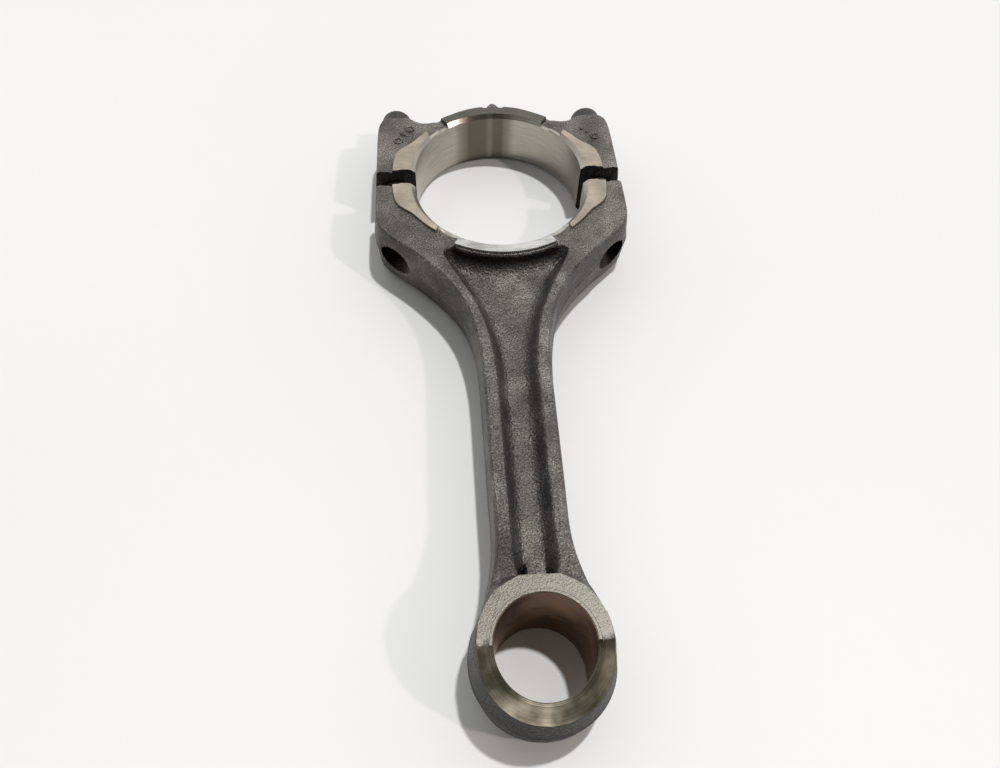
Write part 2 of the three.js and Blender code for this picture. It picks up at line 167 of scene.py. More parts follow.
# Closed outline moved by a distance inwards, corners mitred
def offsetLoop(outline, distance):
    area = (outline[:, 0] * np.roll(outline[:, 1], -1) - np.roll(outline[:, 0], -1) * outline[:, 1]).sum()
    if area < 0:
        outline = outline[::-1]
    after = np.roll(outline, -1, axis=0) - outline
    after /= np.maximum(np.hypot(*after.T), 1e-9)[:, None]
    normal = np.stack([-after[:, 1], after[:, 0]], 1)
    before = np.roll(normal, 1, axis=0)
    reach = np.maximum(1 + (before * normal).sum(1), 0.5)
    return outline + distance * (before + normal) / reach[:, None]


def evenlyClosed(loop, step):
    return evenly(np.vstack([loop, loop[:1]]), step)[:-1]


# Mesh object from vertices in millimetres; smooth except over edges sharper than an angle
def newPiece(name, vertices, faces, materials, slots=None, sharp=32):
    mesh = bpy.data.meshes.new(name)
    mesh.from_pydata((np.asarray(vertices) + toFrame) / 1000, [], [list(f) for f in faces])
    for material in materials:
        mesh.materials.append(material)
    if slots is not None:
        mesh.polygons.foreach_set("material_index", np.asarray(slots, np.int32))
    mesh.validate()
    mesh.set_sharp_from_angle(angle=math.radians(sharp))
    piece = bpy.data.objects.new(name, mesh)
    bpy.context.scene.collection.objects.link(piece)
    return piece


# A closed body from rows of points: every row has the same number of points round it, and the
# first and last rows shrink to a point
def rowsToShell(rows):
    rowCount, around, _ = rows.shape
    vertices = np.vstack([rows.reshape(-1, 3), rows[0].mean(0), rows[-1].mean(0)])
    r, c = np.meshgrid(np.arange(rowCount - 1), np.arange(around), indexing="ij")
    a, b = r * around + c, r * around + (c + 1) % around
    quads = np.stack([a, b, b + around, a + around], -1).reshape(-1, 4)
    c = np.arange(around)
    first, last = rowCount * around, rowCount * around + 1
    tail = (rowCount - 1) * around
    startCap = np.stack([(c + 1) % around, c, np.full(around, first)], 1)
    endCap = np.stack([tail + c, tail + (c + 1) % around, np.full(around, last)], 1)
    return vertices, [*quads.tolist(), *startCap.tolist(), *endCap.tolist()]


# A closed body from rows of points that meet end to end both ways
def gridBothWays(rows):
    count, across, _ = rows.shape
    r, c = np.meshgrid(np.arange(count), np.arange(across), indexing="ij")
    row, nextRow, beside = r * across, (r + 1) % count * across, (c + 1) % across
    faces = np.stack([row + c, nextRow + c, nextRow + beside, row + beside], -1).reshape(-1, 4)
    return rows.reshape(-1, 3), faces.tolist()


# ---- materials ----

# Object coordinates in millimetres about a centre
def millimetres(tree, centre):
    where = addNode(tree, "ShaderNodeTexCoord").outputs["Object"]
    middle = (np.asarray(centre) + toFrame) / 1000
    moved = addNode(tree, "ShaderNodeVectorMath", {0: where, 1: tuple(middle)}, operation="SUBTRACT")
    inMm = addNode(tree, "ShaderNodeVectorMath", {0: moved.outputs[0], "Scale": 1000.0}, operation="SCALE")
    return inMm.outputs[0]


def newMaterial(name):
    material = bpy.data.materials.new(name)
    material.use_nodes = True
    tree = material.node_tree
    tree.nodes.clear()
    shader = addNode(tree, "ShaderNodeBsdfPrincipled")
    output = addNode(tree, "ShaderNodeOutputMaterial", {"Surface": shader.outputs[0]})
    output.location = (400, 0)
    return material, tree, shader


# Tint, roughness, metallic and relief onto a shader; the relief is in millimetres
def dress(tree, shader, tint, rough, metallic, height, strength, relief):
    tree.links.new(tint, shader.inputs["Base Color"])
    tree.links.new(rough, shader.inputs["Roughness"])
    shader.inputs["Metallic"].default_value = metallic
    given = {"Height": height, "Strength": strength, "Distance": relief / 1000}
    bump = addNode(tree, "ShaderNodeBump", given)
    tree.links.new(bump.outputs[0], shader.inputs["Normal"])


# Colours spread along a 0 to 1 value
def colourRamp(tree, value, stops):
    node = addNode(tree, "ShaderNodeValToRGB", {0: value})
    ramp = node.color_ramp
    while len(ramp.elements) < len(stops):
        ramp.elements.new(0.5)
    for element, (at, tint) in zip(ramp.elements, stops):
        element.position = at
        element.color = linear(tint)
    return node.outputs["Color"]


# A value from one span carried onto another, held at its ends
def rescale(tree, value, low, high, fromLow=0.0, fromHigh=1.0):
    given = {0: value, 1: fromLow, 2: fromHigh, 3: low, 4: high}
    return addNode(tree, "ShaderNodeMapRange", given).outputs[0]


# the forging's tones; paintedShade is the near-black colour of the painted shade on its steep walls and
# hollows
forgedLook = dict(dark="#35322f", middle="#645f5b", light="#aca69f", paintedShade="#1a1919", grainSize=0.42,
                  patchSize=11.0, roughLow=0.28, roughHigh=0.58, bump=0.38, metallic=0.9)

# Where painted shade darkens the forging, each as the span over which it begins or ends: radius
# behind the big-end ring and the y it stops at, reach round the lug's middle, height, and y near the eye
paintedShadeAt = dict(ring=(31.8, 33.4), ringStop=(-24.0, -20.0), lug=(-0.4, -127.6, 0), lugReach=(2.9, 4.0),
                 below=(7.5, 8.2), eye=(-124.0, -141.0))


# Shot-blasted steel forging: a grey-brown skin whose fine dents glint one by one, with painted
# shade that darkens its steep walls a little and nearly to black round the small end
def makeForged():
    v, left = forgedLook, paintedShadeAt
    material, tree, shader = newMaterial("shotBlastedForging")
    at = millimetres(tree, (0, 0, 0))
    given = {"Vector": at, "Scale": 1 / v["patchSize"], "Detail": 4.0, "Roughness": 0.6}
    patch = addNode(tree, "ShaderNodeTexNoise", given)
    given = {"Vector": at, "Scale": 1 / v["grainSize"], "Detail": 3.0, "Roughness": 0.65}
    grain = addNode(tree, "ShaderNodeTexNoise", given)
    given = {"Vector": at, "Scale": 0.7 / v["grainSize"]}
    dents = addNode(tree, "ShaderNodeTexVoronoi", given, feature="SMOOTH_F1")
    part = addNode(tree, "ShaderNodeMath", {0: patch.outputs[0], 1: 0.35}, operation="MULTIPLY")
    mix = {0: grain.outputs[0], 1: 0.65, 2: part.outputs[0]}
    mixed = addNode(tree, "ShaderNodeMath", mix, operation="MULTIPLY_ADD")
    tone = rescale(tree, mixed.outputs[0], 0, 1, 0.36, 0.66)
    skin = colourRamp(tree, tone, [(0, v["dark"]), (0.5, v["middle"]), (1, v["light"])])
    # painted shade: steep walls are mixed towards the shade colour, about a third of the way on the shank and
    # all the way round the small end
    normal = addNode(tree, "ShaderNodeNewGeometry").outputs["Normal"]
    facing = addNode(tree, "ShaderNodeSeparateXYZ", {0: normal})
    upright = addNode(tree, "ShaderNodeMath", {0: facing.outputs[2]}, operation="ABSOLUTE")
    steep = rescale(tree, upright.outputs[0], 1.0, 0.0, 0.1, 0.75)
    place = addNode(tree, "ShaderNodeSeparateXYZ", {0: at})
    nearEye = rescale(tree, place.outputs[1], 0.35, 1.0, *left["eye"])
    steepShade = addNode(tree, "ShaderNodeMath", {0: steep, 1: nearEye}, operation="MULTIPLY")
    # painted shade in the hollow under the big-end ring and in a ring round the lug's foot, on the low faces
    # only
    flat = addNode(tree, "ShaderNodeVectorMath", {0: at, 1: (1, 1, 0)}, operation="MULTIPLY")
    fromBore = addNode(tree, "ShaderNodeVectorMath", {0: flat.outputs[0]}, operation="LENGTH")
    between = {0: flat.outputs[0], 1: left["lug"]}
    fromLug = addNode(tree, "ShaderNodeVectorMath", between, operation="DISTANCE")
    high = addNode(tree, "ShaderNodeMath", {0: place.outputs[2]}, operation="ABSOLUTE")
    behind = rescale(tree, fromBore.outputs["Value"], 0.95, 0.0, *left["ring"])
    stop = rescale(tree, place.outputs[1], 1.0, 0.0, *left["ringStop"])
    ringHollow = addNode(tree, "ShaderNodeMath", {0: behind, 1: stop}, operation="MULTIPLY")
    lugFootShade = rescale(tree, fromLug.outputs["Value"], 0.85, 0.0, *left["lugReach"])
    hollow = addNode(tree, "ShaderNodeMath", {0: ringHollow.outputs[0], 1: lugFootShade}, operation="MAXIMUM")
    sunk = rescale(tree, high.outputs[0], 1.0, 0.0, *left["below"])
    low = addNode(tree, "ShaderNodeMath", {0: hollow.outputs[0], 1: sunk}, operation="MULTIPLY")
    dark = addNode(tree, "ShaderNodeMath", {0: steepShade.outputs[0], 1: low.outputs[0]}, operation="MAXIMUM")
    mix = {0: dark.outputs[0], 6: skin, 7: linear(v["paintedShade"])}
    tint = addNode(tree, "ShaderNodeMix", mix, data_type="RGBA")
    rough = rescale(tree, grain.outputs[0], v["roughLow"], v["roughHigh"], 0.3, 0.7)
    mix = {0: dents.outputs["Distance"], 1: grain.outputs[0]}
    both = addNode(tree, "ShaderNodeMath", mix, operation="ADD")
    dress(tree, shader, tint.outputs[2], rough, v["metallic"], both.outputs[0], 0.7, v["bump"])
    return material


# What the cut surfaces are like: two tones, how the tool's lines stretch along x, y and z, their
# width and share of the pattern against the stains, the stains' size, the roughness and relief
groundLook = dict(dark="#968c81", light="#bdb2a3", stretch=(0.06, 1, 1), turn=0.5, lineSize=0.35,
                  lineShare=0.35, stainSize=6.0, roughLow=0.3, roughHigh=0.42, metallic=0.92, relief=0.03)
# a lighter, greyer copy of the ground finish for the rod's crescent: painted reflection
groundLitLook = dict(dark="#aaa9a6", light="#dcdbd8", stretch=(0.05, 1, 1), turn=0.15, lineSize=0.35,
                  lineShare=0.5, stainSize=5.0, roughLow=0.22, roughHigh=0.38, metallic=0.95, relief=0.03)
blastedLook = dict(dark="#45423c", light="#77736c", stretch=(1, 1, 1), turn=0.0, lineSize=0.4,
                   lineShare=0.75, stainSize=8.0, roughLow=0.32, roughHigh=0.48, metallic=0.9, relief=0.12)
# the bored finish carries a painted dark reflection over the crown of the bore
boredLook = dict(dark="#a09a92", light="#c8c2b9", stretch=(0.04, 0.04, 1), turn=0.0, lineSize=0.25,
                 lineShare=0.6, stainSize=16.0, roughLow=0.26, roughHigh=0.36, metallic=0.95, relief=0.03,
                 paintedReflection=dict(tint="#6b645a", x=-3.0, half=8.0))
# near-black hole walls: painted shade for the deep screw holes
holeShadeLook = dict(dark="#27221e", light="#4c443c", stretch=(1, 1, 1), turn=0.0, lineSize=0.6,
                  lineShare=0.5, stainSize=4.0, roughLow=0.35, roughHigh=0.5, metallic=0.85, relief=0.03)
bronzeLook = dict(dark="#573c29", light="#937050", stretch=(0.04, 0.04, 1), turn=0.0, lineSize=0.3,
                  lineShare=0.45, stainSize=6.0, roughLow=0.24, roughHigh=0.36, metallic=1.0, relief=0.03)
rimLook = dict(dark="#8a7b62", light="#b7a688", stretch=(1, 1, 1), turn=0.0, lineSize=0.5,
               lineShare=0.5, stainSize=4.0, roughLow=0.28, roughHigh=0.38, metallic=1.0, relief=0.02)


# Machined metal: lines left by the tool over slow stains, both tinting and roughening it
def makeCut(name, v, centre=(0, 0, 0)):
    material, tree, shader = newMaterial(name)
    at = millimetres(tree, centre)
    given = {"Vector": at, "Rotation": (0, 0, v["turn"]), "Scale": v["stretch"]}
    drawn = addNode(tree, "ShaderNodeMapping", given)
    given = {"Vector": drawn.outputs[0], "Scale": 1 / v["lineSize"], "Detail": 3.0}
    lines = addNode(tree, "ShaderNodeTexNoise", given)
    stain = addNode(tree, "ShaderNodeTexNoise", {"Vector": at, "Scale": 1 / v["stainSize"], "Detail": 3.0})
    mix = {0: stain.outputs[0], 1: 1 - v["lineShare"]}
    part = addNode(tree, "ShaderNodeMath", mix, operation="MULTIPLY")
    mix = {0: lines.outputs[0], 1: v["lineShare"], 2: part.outputs[0]}
    mixed = addNode(tree, "ShaderNodeMath", mix, operation="MULTIPLY_ADD")
    tone = rescale(tree, mixed.outputs[0], 0, 1, 0.32, 0.68)
    tint = colourRamp(tree, tone, [(0, v["dark"]), (1, v["light"])])
    if "paintedReflection" in v:
        tint = paintReflectionBand(tree, at, tint, v["paintedReflection"])
    rough = rescale(tree, mixed.outputs[0], v["roughLow"], v["roughHigh"], 0.32, 0.68)
    dress(tree, shader, tint, rough, v["metallic"], lines.outputs[0], 0.5, v["relief"])
    return material


# A painted dark reflection on the crown of the bore: a brown band thinning to each side in streaks across the
# wall
def paintReflectionBand(tree, at, tint, paintedReflection):
    place = addNode(tree, "ShaderNodeSeparateXYZ", {0: at})
    given = {"W": place.outputs[0], "Scale": 0.3, "Detail": 2.0}
    streaks = addNode(tree, "ShaderNodeTexNoise", given, noise_dimensions="1D")
    aside = addNode(tree, "ShaderNodeMath", {0: place.outputs[0], 1: paintedReflection["x"]}, operation="SUBTRACT")
    away = addNode(tree, "ShaderNodeMath", {0: aside.outputs[0]}, operation="ABSOLUTE")
    cover = rescale(tree, away.outputs[0], 1.25, 0.0, paintedReflection["half"] - 2.5, paintedReflection["half"] + 2.5)
    crown = rescale(tree, place.outputs[1], 0.0, 1.0, 5.0, 16.0)
    streak = rescale(tree, streaks.outputs[0], 0.6, 1.0, 0.3, 0.65)
    share = addNode(tree, "ShaderNodeMath", {0: cover, 1: streak}, operation="MULTIPLY")
    mix = {0: share.outputs[0], 1: crown}
    part = addNode(tree, "ShaderNodeMath", mix, operation="MULTIPLY", use_clamp=True)
    mix = {0: part.outputs[0], 6: tint, 7: linear(paintedReflection["tint"])}
    return addNode(tree, "ShaderNodeMix", mix, data_type="RGBA").outputs[2]


turnedLook = dict(dark="#4b463c", middle="#746d5e", light="#aaa28f", pitch=0.22,
                  roughLow=0.24, roughHigh=0.36)


# Turned small-end slopes: fine rings about the pin bore that draw the light out into streaks
# pointing at it, stained olive and brown
def makeTurned():
    v = turnedLook
    material, tree, shader = newMaterial("turnedStainedSteel")
    at = millimetres(tree, (0, smallEnd["centre"], 0))
    flat = addNode(tree, "ShaderNodeVectorMath", {0: at, 1: (1, 1, 0)}, operation="MULTIPLY")
    radius = addNode(tree, "ShaderNodeVectorMath", {0: flat.outputs[0]}, operation="LENGTH")
    given = {"W": radius.outputs["Value"], "Scale": 1 / v["pitch"], "Detail": 3.0}
    rings = addNode(tree, "ShaderNodeTexNoise", given, noise_dimensions="1D")
    stain = addNode(tree, "ShaderNodeTexNoise", {"Vector": at, "Scale": 0.14, "Detail": 3.0})
    mix = {0: rings.outputs[0], 1: 0.35, 2: stain.outputs[0]}
    mixed = addNode(tree, "ShaderNodeMath", mix, operation="MULTIPLY_ADD")
    tone = rescale(tree, mixed.outputs[0], 0, 1, 0.45, 0.9)
    tint = colourRamp(tree, tone, [(0, v["dark"]), (0.5, v["middle"]), (1, v["light"])])
    rough = rescale(tree, stain.outputs[0], v["roughLow"], v["roughHigh"], 0.3, 0.7)
    dress(tree, shader, tint, rough, 0.95, rings.outputs[0], 0.4, 0.03)
    tree.links.new(flat.outputs[0], shader.inputs["Tangent"])
    shader.inputs["Anisotropic"].default_value = 0.8
    return material


crackShadeLook = dict(dark="#1c1a19", light="#4a4744", grain=0.6)


# Cracked steel: a crystalline break, every grain tilted its own way, its colour kept near-black as painted
# shade for faces that look into the narrow gap
def makeCracked():
    v = crackShadeLook
    material, tree, shader = newMaterial("crackedSteelPaintedShade")
    at = millimetres(tree, (0, 0, 0))
    cells = addNode(tree, "ShaderNodeTexVoronoi", {"Vector": at, "Scale": 1 / v["grain"]})
    given = {"Vector": at, "Scale": 1.5, "Detail": 5.0, "Roughness": 0.7}
    stray = addNode(tree, "ShaderNodeTexNoise", given)
    tint = colourRamp(tree, stray.outputs[0], [(0.3, v["dark"]), (0.7, v["light"])])
    rough = rescale(tree, cells.outputs["Distance"], 0.4, 0.7)
    mix = {0: cells.outputs["Distance"], 1: stray.outputs[0]}
    both = addNode(tree, "ShaderNodeMath", mix, operation="ADD")
    dress(tree, shader, tint, rough, 0.8, both.outputs[0], 0.9, 0.3)
    return material


screwLook = dict(dark="#2c2a28", light="#5f5c58", grain=0.35)


# Manganese-phosphated steel: black-grey, dry and finely crystalline, a little oily in patches
def makePhosphated():
    v = screwLook
    material, tree, shader = newMaterial("phosphatedSteel")
    at = millimetres(tree, (0, 0, 0))
    given = {"Vector": at, "Scale": 1 / v["grain"], "Detail": 4.0, "Roughness": 0.7}
    grain = addNode(tree, "ShaderNodeTexNoise", given)
    patch = addNode(tree, "ShaderNodeTexNoise", {"Vector": at, "Scale": 0.3, "Detail": 2.0})
    tint = colourRamp(tree, grain.outputs[0], [(0.35, v["dark"]), (0.7, v["light"])])
    rough = rescale(tree, patch.outputs[0], 0.32, 0.55, 0.3, 0.7)
    dress(tree, shader, tint, rough, 0.7, grain.outputs[0], 0.5, 0.08)
    return material


forged, turned, phosphated = makeForged(), makeTurned(), makePhosphated()
blasted = makeCut("blastedSteel", blastedLook)
bronze = makeCut("boredBronze", bronzeLook, (0, smallEnd["centre"], 0))
rim = makeCut("cutBronze", rimLook, (0, smallEnd["centre"], 0))
# the forgings' finishes, in the order of their slots
steelFinishes = dict(forged=forged, ground=makeCut("groundSteel", groundLook), turned=turned,
                     bored=makeCut("boredSteel", boredLook), cracked=makeCracked(),
                     holeShade=makeCut("holeWallPaintedShade", holeShadeLook), groundLit=makeCut("groundSteelPaintedLight", groundLitLook),
                     blasted=blasted)
slotOf = {name: number for number, name in enumerate(steelFinishes)}
print("materials made")


# ---- what the rod and its cap share ----

# How far the crack strays from flat: two crossed waves, a coarse and a fine one
def crackHeight(x, z):
    x = np.abs(x)
    coarse = np.sin(0.9 * x + 1.7 * np.cos(0.55 * z)) * np.cos(0.7 * z)
    fine = np.sin(2.9 * x + 1.3 * np.cos(2.1 * z)) * np.cos(3.1 * z)
    return 0.28 * coarse + 0.15 * fine


# Height of the small end's machined face: flat towards the shank, then a small step and a slope
def faceHeight(y, past=0.0):
    v = smallEnd
    beyond = v["face"] - v["step"] - v["slope"] * (v["crease"] - y)
    return np.where(y > v["crease"] + past, v["face"], beyond)


# Thrust face beside the parting, as an outline: wide at the parting, slim further round, its
# far end slanted. way is -1 for the rod and +1 for the cap, side -1 for left
def lobeOutline(way, side, outerEnd, innerEnd):
    t = np.arange(-6, outerEnd + 0.01, 1.0)
    # outer radius at each angle from the parting
    table = np.array([[-10, 33.6], [0, 33.6], [13, 33.5], [17, 33.0], [21, 31.8], [25, 30.6], [30, 30.0],
                      [38, 29.6], [46, 29.2], [60, 28.9]])
    outer = circlePoint(np.interp(t, *table.T), t)
    inner = circlePoint(np.full(9, innerEdge), np.linspace(innerEnd, -6, 9))
    return np.vstack([outer, inner]) * [side, way]


# Thrust face opposite the parting: a slice of ring with square-cut ends
def crescentOutline(way, halfAngle, outerRadius):
    t = np.linspace(90 - halfAngle, 90 + halfAngle, 60)
    outer = circlePoint(np.full(60, outerRadius), t)
    inner = circlePoint(np.full(60, innerEdge), t[::-1])
    return np.vstack([outer, inner]) * [1, way]


# The pads' rise over the forging, the dips beside the bore, and the bore's chamfer
def bigEndHeight(points, base, pads):
    v = bigEnd
    rise = np.zeros(len(points))
    for pad in pads:
        rise = np.maximum(rise, ease(-v["padEdge"], v["padEdge"], insideDistance(points, pad)))
    radius = np.hypot(*points.T)
    angle = np.degrees(np.arctan2(np.abs(points[:, 1]), np.abs(points[:, 0])))
    dip = ease(v["reliefFrom"] - 1, v["reliefFrom"] + 1.5, angle)
    dip *= 1 - ease(v["reliefTo"] - 1.5, v["reliefTo"] + 1, angle)
    dip *= 1 - ease(v["reliefOut"] - 1.6, v["reliefOut"], radius)
    height = base + (v["thrust"] - base) * rise - v["reliefDepth"] * dip * (1 - rise)
    return np.minimum(height, v["thrust"] - v["chamfer"] + radius - v["bore"])


# The plan of a slab as triangles: a staggered grid fills the outline clear of its holes, loose
# points are added, and the given lines are kept as edges
def fillPlan(outline, holes, lines, loose, spacing=0.95):
    edges, parts, count = [], [], 0
    for line, closed in [(outline, True), *[(h, True) for h in holes], *lines]:
        index = count + np.arange(len(line))
        edges += list(zip(index[:-1].tolist(), index[1:].tolist()))
        if closed:
            edges.append((int(index[-1]), int(index[0])))
        parts.append(line)
        count += len(line)
    fixed = np.vstack(parts)
    low, high = outline.min(0), outline.max(0)
    gx, gy = np.meshgrid(np.arange(low[0], high[0], spacing), np.arange(low[1], high[1], spacing * 0.87))
    gx = gx + (np.arange(gx.shape[0]) % 2)[:, None] * spacing / 2
    fill = np.stack([gx.ravel(), gy.ravel()], 1)

    def within(points, margin):
        keep = insideDistance(points, outline) > margin
        for hole in holes:
            keep &= insideDistance(points, hole) < -margin
        return keep

    # a loose point stays clear of the fixed lines, and the fill stays clear of both
    loose = clearOf(loose[within(loose, 0.3)], fixed, 0.25, 0)
    fill = clearOf(fill[within(fill, 0.3)], np.vstack([fixed, loose]), 0.45, 1)
    every = [Vector(p) for p in np.vstack([fixed, loose, fill]).tolist()]
    flat, _, triangles, *_ = delaunay_2d_cdt(every, edges, [], 0, 1e-6)
    flat = np.array([tuple(p) for p in flat])
    tri = np.array(triangles)
    tri = tri[within(flat[tri].mean(1), 0)]
    a, b, c = flat[tri[:, 0]], flat[tri[:, 1]], flat[tri[:, 2]]
    turn = (b[:, 0] - a[:, 0]) * (c[:, 1] - a[:, 1]) - (b[:, 1] - a[:, 1]) * (c[:, 0] - a[:, 0])
    tri[turn < 0] = tri[turn < 0][:, ::-1]
    used, tri = np.unique(tri, return_inverse=True)
    return flat[used], tri.reshape(-1, 3)


# Points whose square cell has none of the others in it, or in the cells up to reach away
def clearOf(points, others, cell, reach):
    rowStep = 100003   # more cells than a row can hold, so that each cell has its own number
    here, taken = (np.floor(p / cell).astype(int) @ [rowStep, 1] for p in (points, others))
    steps = [rowStep * i + j for i in range(-reach, reach + 1) for j in range(-reach, reach + 1)]
    return points[~np.isin(here, np.concatenate([taken + step for step in steps]))]


# Loops of vertices along the edges that only one triangle has
def borderLoops(tri, count):
    directed = np.vstack([tri[:, [0, 1]], tri[:, [1, 2]], tri[:, [2, 0]]])
    there = directed[:, 0] * count + directed[:, 1]
    back = directed[:, 1] * count + directed[:, 0]
    follow = dict(directed[~np.isin(there, back)].tolist())
    loops, left = [], set(follow)
    while left:
        start = min(left)
        loop = [start]
        left.discard(start)
        while follow[loop[-1]] != start:
            loop.append(follow[loop[-1]])
            left.discard(loop[-1])
        loops.append(np.array(loop))
    return loops


# A forged slab, the same above and below: the plan raised to a height at each point, its mirror
# image, and down every border point a column whose shape wallShape gives
def forgedSlab(outline, holes, lines, loose, height, wallShape, finish):
    flat, tri = fillPlan(outline, holes, lines, loose)
    top, count = height(flat), len(flat)
    vertices = [np.column_stack([flat, top]), np.column_stack([flat, -top])]
    faces = tri.tolist() + (tri[:, ::-1] + count).tolist()
    slots = finish(flat[tri].mean(1)).tolist() * 2
    total = 2 * count
    for loop in borderLoops(tri, count):
        rows, kinds = wallShape(flat[loop], top[loop])
        size, levels = len(loop), len(rows)
        vertices.append(rows.reshape(-1, 3))
        ids = [loop] + [total + k * size + np.arange(size) for k in range(levels)] + [loop + count]
        total += levels * size
        for upper, lower in zip(ids[:-1], ids[1:]):
            upNext, lowNext = np.roll(upper, -1), np.roll(lower, -1)
            faces += np.stack([upper, lower, lowNext, upNext], 1).tolist()
            slots += np.maximum(kinds, np.roll(kinds, -1)).tolist()
    return np.vstack(vertices), faces, slots


# Columns down the outside of a forging. Going down from the top edge a point moves outwards on a
# quarter round, then along the draft, to a low ridge at the middle plane. Columns on
# the crack follow the crack; columns in a bore run straight down
def forgedWall(points, top, offset, crisp):
    size = len(points)
    radius = np.hypot(*points.T)
    eyeRadius = np.hypot(points[:, 0], points[:, 1] - smallEnd["centre"])
    inBore = radius < bigEnd["bore"] + 0.05
    inEye = eyeRadius < smallEnd["eye"] + 0.05
    onCrack = (np.abs(points[:, 1]) < 0.6) & ~inBore & (np.abs(points[:, 0]) > 26)
    crackSpan = np.abs(points[onCrack, 0]).max() if onCrack.any() else 1
    corner = onCrack & (np.abs(points[:, 0]) > crackSpan - 1e-4)
    along = np.roll(points, -2, axis=0) - np.roll(points, 2, axis=0)
    if onCrack.any():
        nearCrack = (np.abs(points[:, 1]) < 4) & ~inBore & ~onCrack | corner
        along[nearCrack] = [0, 1]
        along[nearCrack & (points[:, 0] < 0)] = [0, -1]
    along /= np.maximum(np.hypot(*along.T), 1e-9)[:, None]
    outward = np.stack([along[:, 1], -along[:, 0]], 1)
    full = offset(points) - flashRidge
    start = np.radians(crisp(points))
    roundSize = np.maximum(full - forgedDraft * top, 0.15) / (1 - np.sin(start))
    arc = np.linspace(0, 1, 6)[1:, None]
    phi = start + (np.pi / 2 - start) * arc
    out = roundSize * (np.sin(phi) - np.sin(start))
    down = roundSize * (np.cos(start) - np.cos(phi))
    rest = np.array([0.3, 0.6, 0.84, 0.93, 0.96, 1.0])[:, None]
    ridge = flashRidge * np.array([0, 0, 0, 0, 0.6, 1.0])[:, None]
    downRest = down[-1] + (top - down[-1]) * rest
    outRest = out[-1] + (full - out[-1]) * rest + ridge
    out, down = np.vstack([out, outRest]), np.vstack([down, downRest])
    out, z = np.vstack([out, out[-2::-1]]), np.vstack([top - down, (down - top)[-2::-1]])
    straight = inBore | inEye
    share = np.linspace(1, -1, len(z) + 2)[1:-1, None]
    z = np.where(straight, share * top, z)
    out = np.where(straight, 0, out)
    x = points[:, 0] + out * outward[:, 0]
    y = points[:, 1] + out * outward[:, 1]
    if onCrack.any():
        side = np.sign(points[:, 0])
        rightCorner = corner & (side > 0)
        edgeOut = out[:, rightCorner].mean(1)[:, None]
        edgeZ = z[:, rightCorner].mean(1)[:, None]
        edgeTop = top[rightCorner].mean()
        part = (np.abs(points[:, 0]) - bigEnd["bore"]) / (crackSpan - bigEnd["bore"])
        crackX = points[:, 0] + side * part * edgeOut
        z = np.where(onCrack & ~corner, edgeZ * top / edgeTop, z)
        x = np.where(onCrack, crackX, x)
        y = np.where(onCrack, crackHeight(x, z), y)
        atBoreEdge = inBore & (np.abs(points[:, 1]) < 0.6)
        z = np.where(atBoreEdge, edgeZ * top / edgeTop, z)
        y = np.where(atBoreEdge, crackHeight(x, z), y)
    kinds = np.where(straight, slotOf["bored"], slotOf["forged"])
    kinds = np.where(onCrack & ~corner, slotOf["cracked"], kinds)
    return np.stack([x, y, z], -1), kinds


# Threaded or plain cutter along y: radius plus a triangular ridge that climbs one pitch a turn
def threadRows(x, y0, y1, radius, depth, stepsPerTurn=8, around=48):
    y = np.arange(y0, y1, screwAt["pitch"] / stepsPerTurn)[:, None]
    theta = np.linspace(0, 2 * np.pi, around, endpoint=False)[None]
    turn = (y / screwAt["pitch"] - theta / (2 * np.pi)) % 1
    r = radius + depth * (1 - np.abs(2 * turn - 1))
    return np.stack([x + r * np.sin(theta), y + 0 * theta, r * np.cos(theta)], -1)


# A plain round cutter along y
def plainRows(x, y0, y1, radius, around=64):
    theta = np.linspace(0, 2 * np.pi, around, endpoint=False)[None]
    y = np.array([y0, y1])[:, None] + 0 * theta
    return np.stack([x + radius * np.sin(theta) + 0 * y, y, radius * np.cos(theta) + 0 * y], -1)


# Take a cutter away from a piece; the cut surface gets the near-black hole finish, which is painted shade
def cutWith(piece, rows):
    vertices, faces = rowsToShell(rows)
    cutter = newPiece("cutter", vertices, faces, piece.data.materials, np.full(len(faces), slotOf["holeShade"]))
    boolean = piece.modifiers.new("hole", "BOOLEAN")
    boolean.operation = "DIFFERENCE"
    boolean.solver = "MANIFOLD"
    boolean.object = cutter
    bpy.context.view_layer.objects.active = piece
    with bpy.context.temp_override(object=piece, active_object=piece):
        bpy.ops.object.modifier_apply(modifier=boolean.name)
    bpy.data.objects.remove(cutter)


# ---- rod body ----

rodLook = dict(
    # half width at the flash line, going down the right-hand side
    flash=[(39.6, 0), (39.6, -10), (39.2, -15), (37.9, -19), (34.4, -23.2), (28.2, -29), (24.2, -33.2),
           (20.5, -37.6), (16.8, -43), (13.7, -49.5), (11.8, -56.5), (10.6, -64.5), (10.1, -74), (10.0, -84),
           (9.8, -106), (9.7, -117), (10.3, -124), (11.8, -130.6), (13.9, -136.6)],
    # how far the top edge lies inside that line, at each y
    inset=[(-162.1, 1.1), (-158, 1.2), (-152, 1.6), (-147, 2.1), (-142, 1.9), (-139, 1.65), (-136, 1.5),
           (-131, 1.7), (-110, 1.7), (-40, 1.6), (-20, 1.4), (0, 1.3)],
    endRadius=16.5,
    # pocket, from the ring's back down to the small end
    pocket=[(17.0, -27.3), (18.4, -29.0), (17.5, -31.6), (15.6, -35.6), (12.9, -41), (10.4, -46.4),
            (8.0, -53), (6.5, -60), (5.6, -67), (5.3, -75), (5.1, -94), (5.0, -111), (5.0, -122), (4.8, -127),
            (4.2, -129.6), (3.0, -130.2), (0, -130.3)],
    ringBack=31.0, web=2.5, flange=7.2, wallSteep=2.9,
    # machined end face, down its right-hand side
    pad=[(0, -130.4), (4.5, -130.45), (7.6, -132), (10.3, -133.9), (12.2, -136.6), (13.5, -139.3),
         (14.3, -141.9), (19, -145.6), (19, -170)],
    lug=(-0.4, -127.3), lugRadius=2.85, lugTop=9.2)


def rodOffset(points):
    return np.interp(points[:, 1], *np.array(rodLook["inset"]).T)


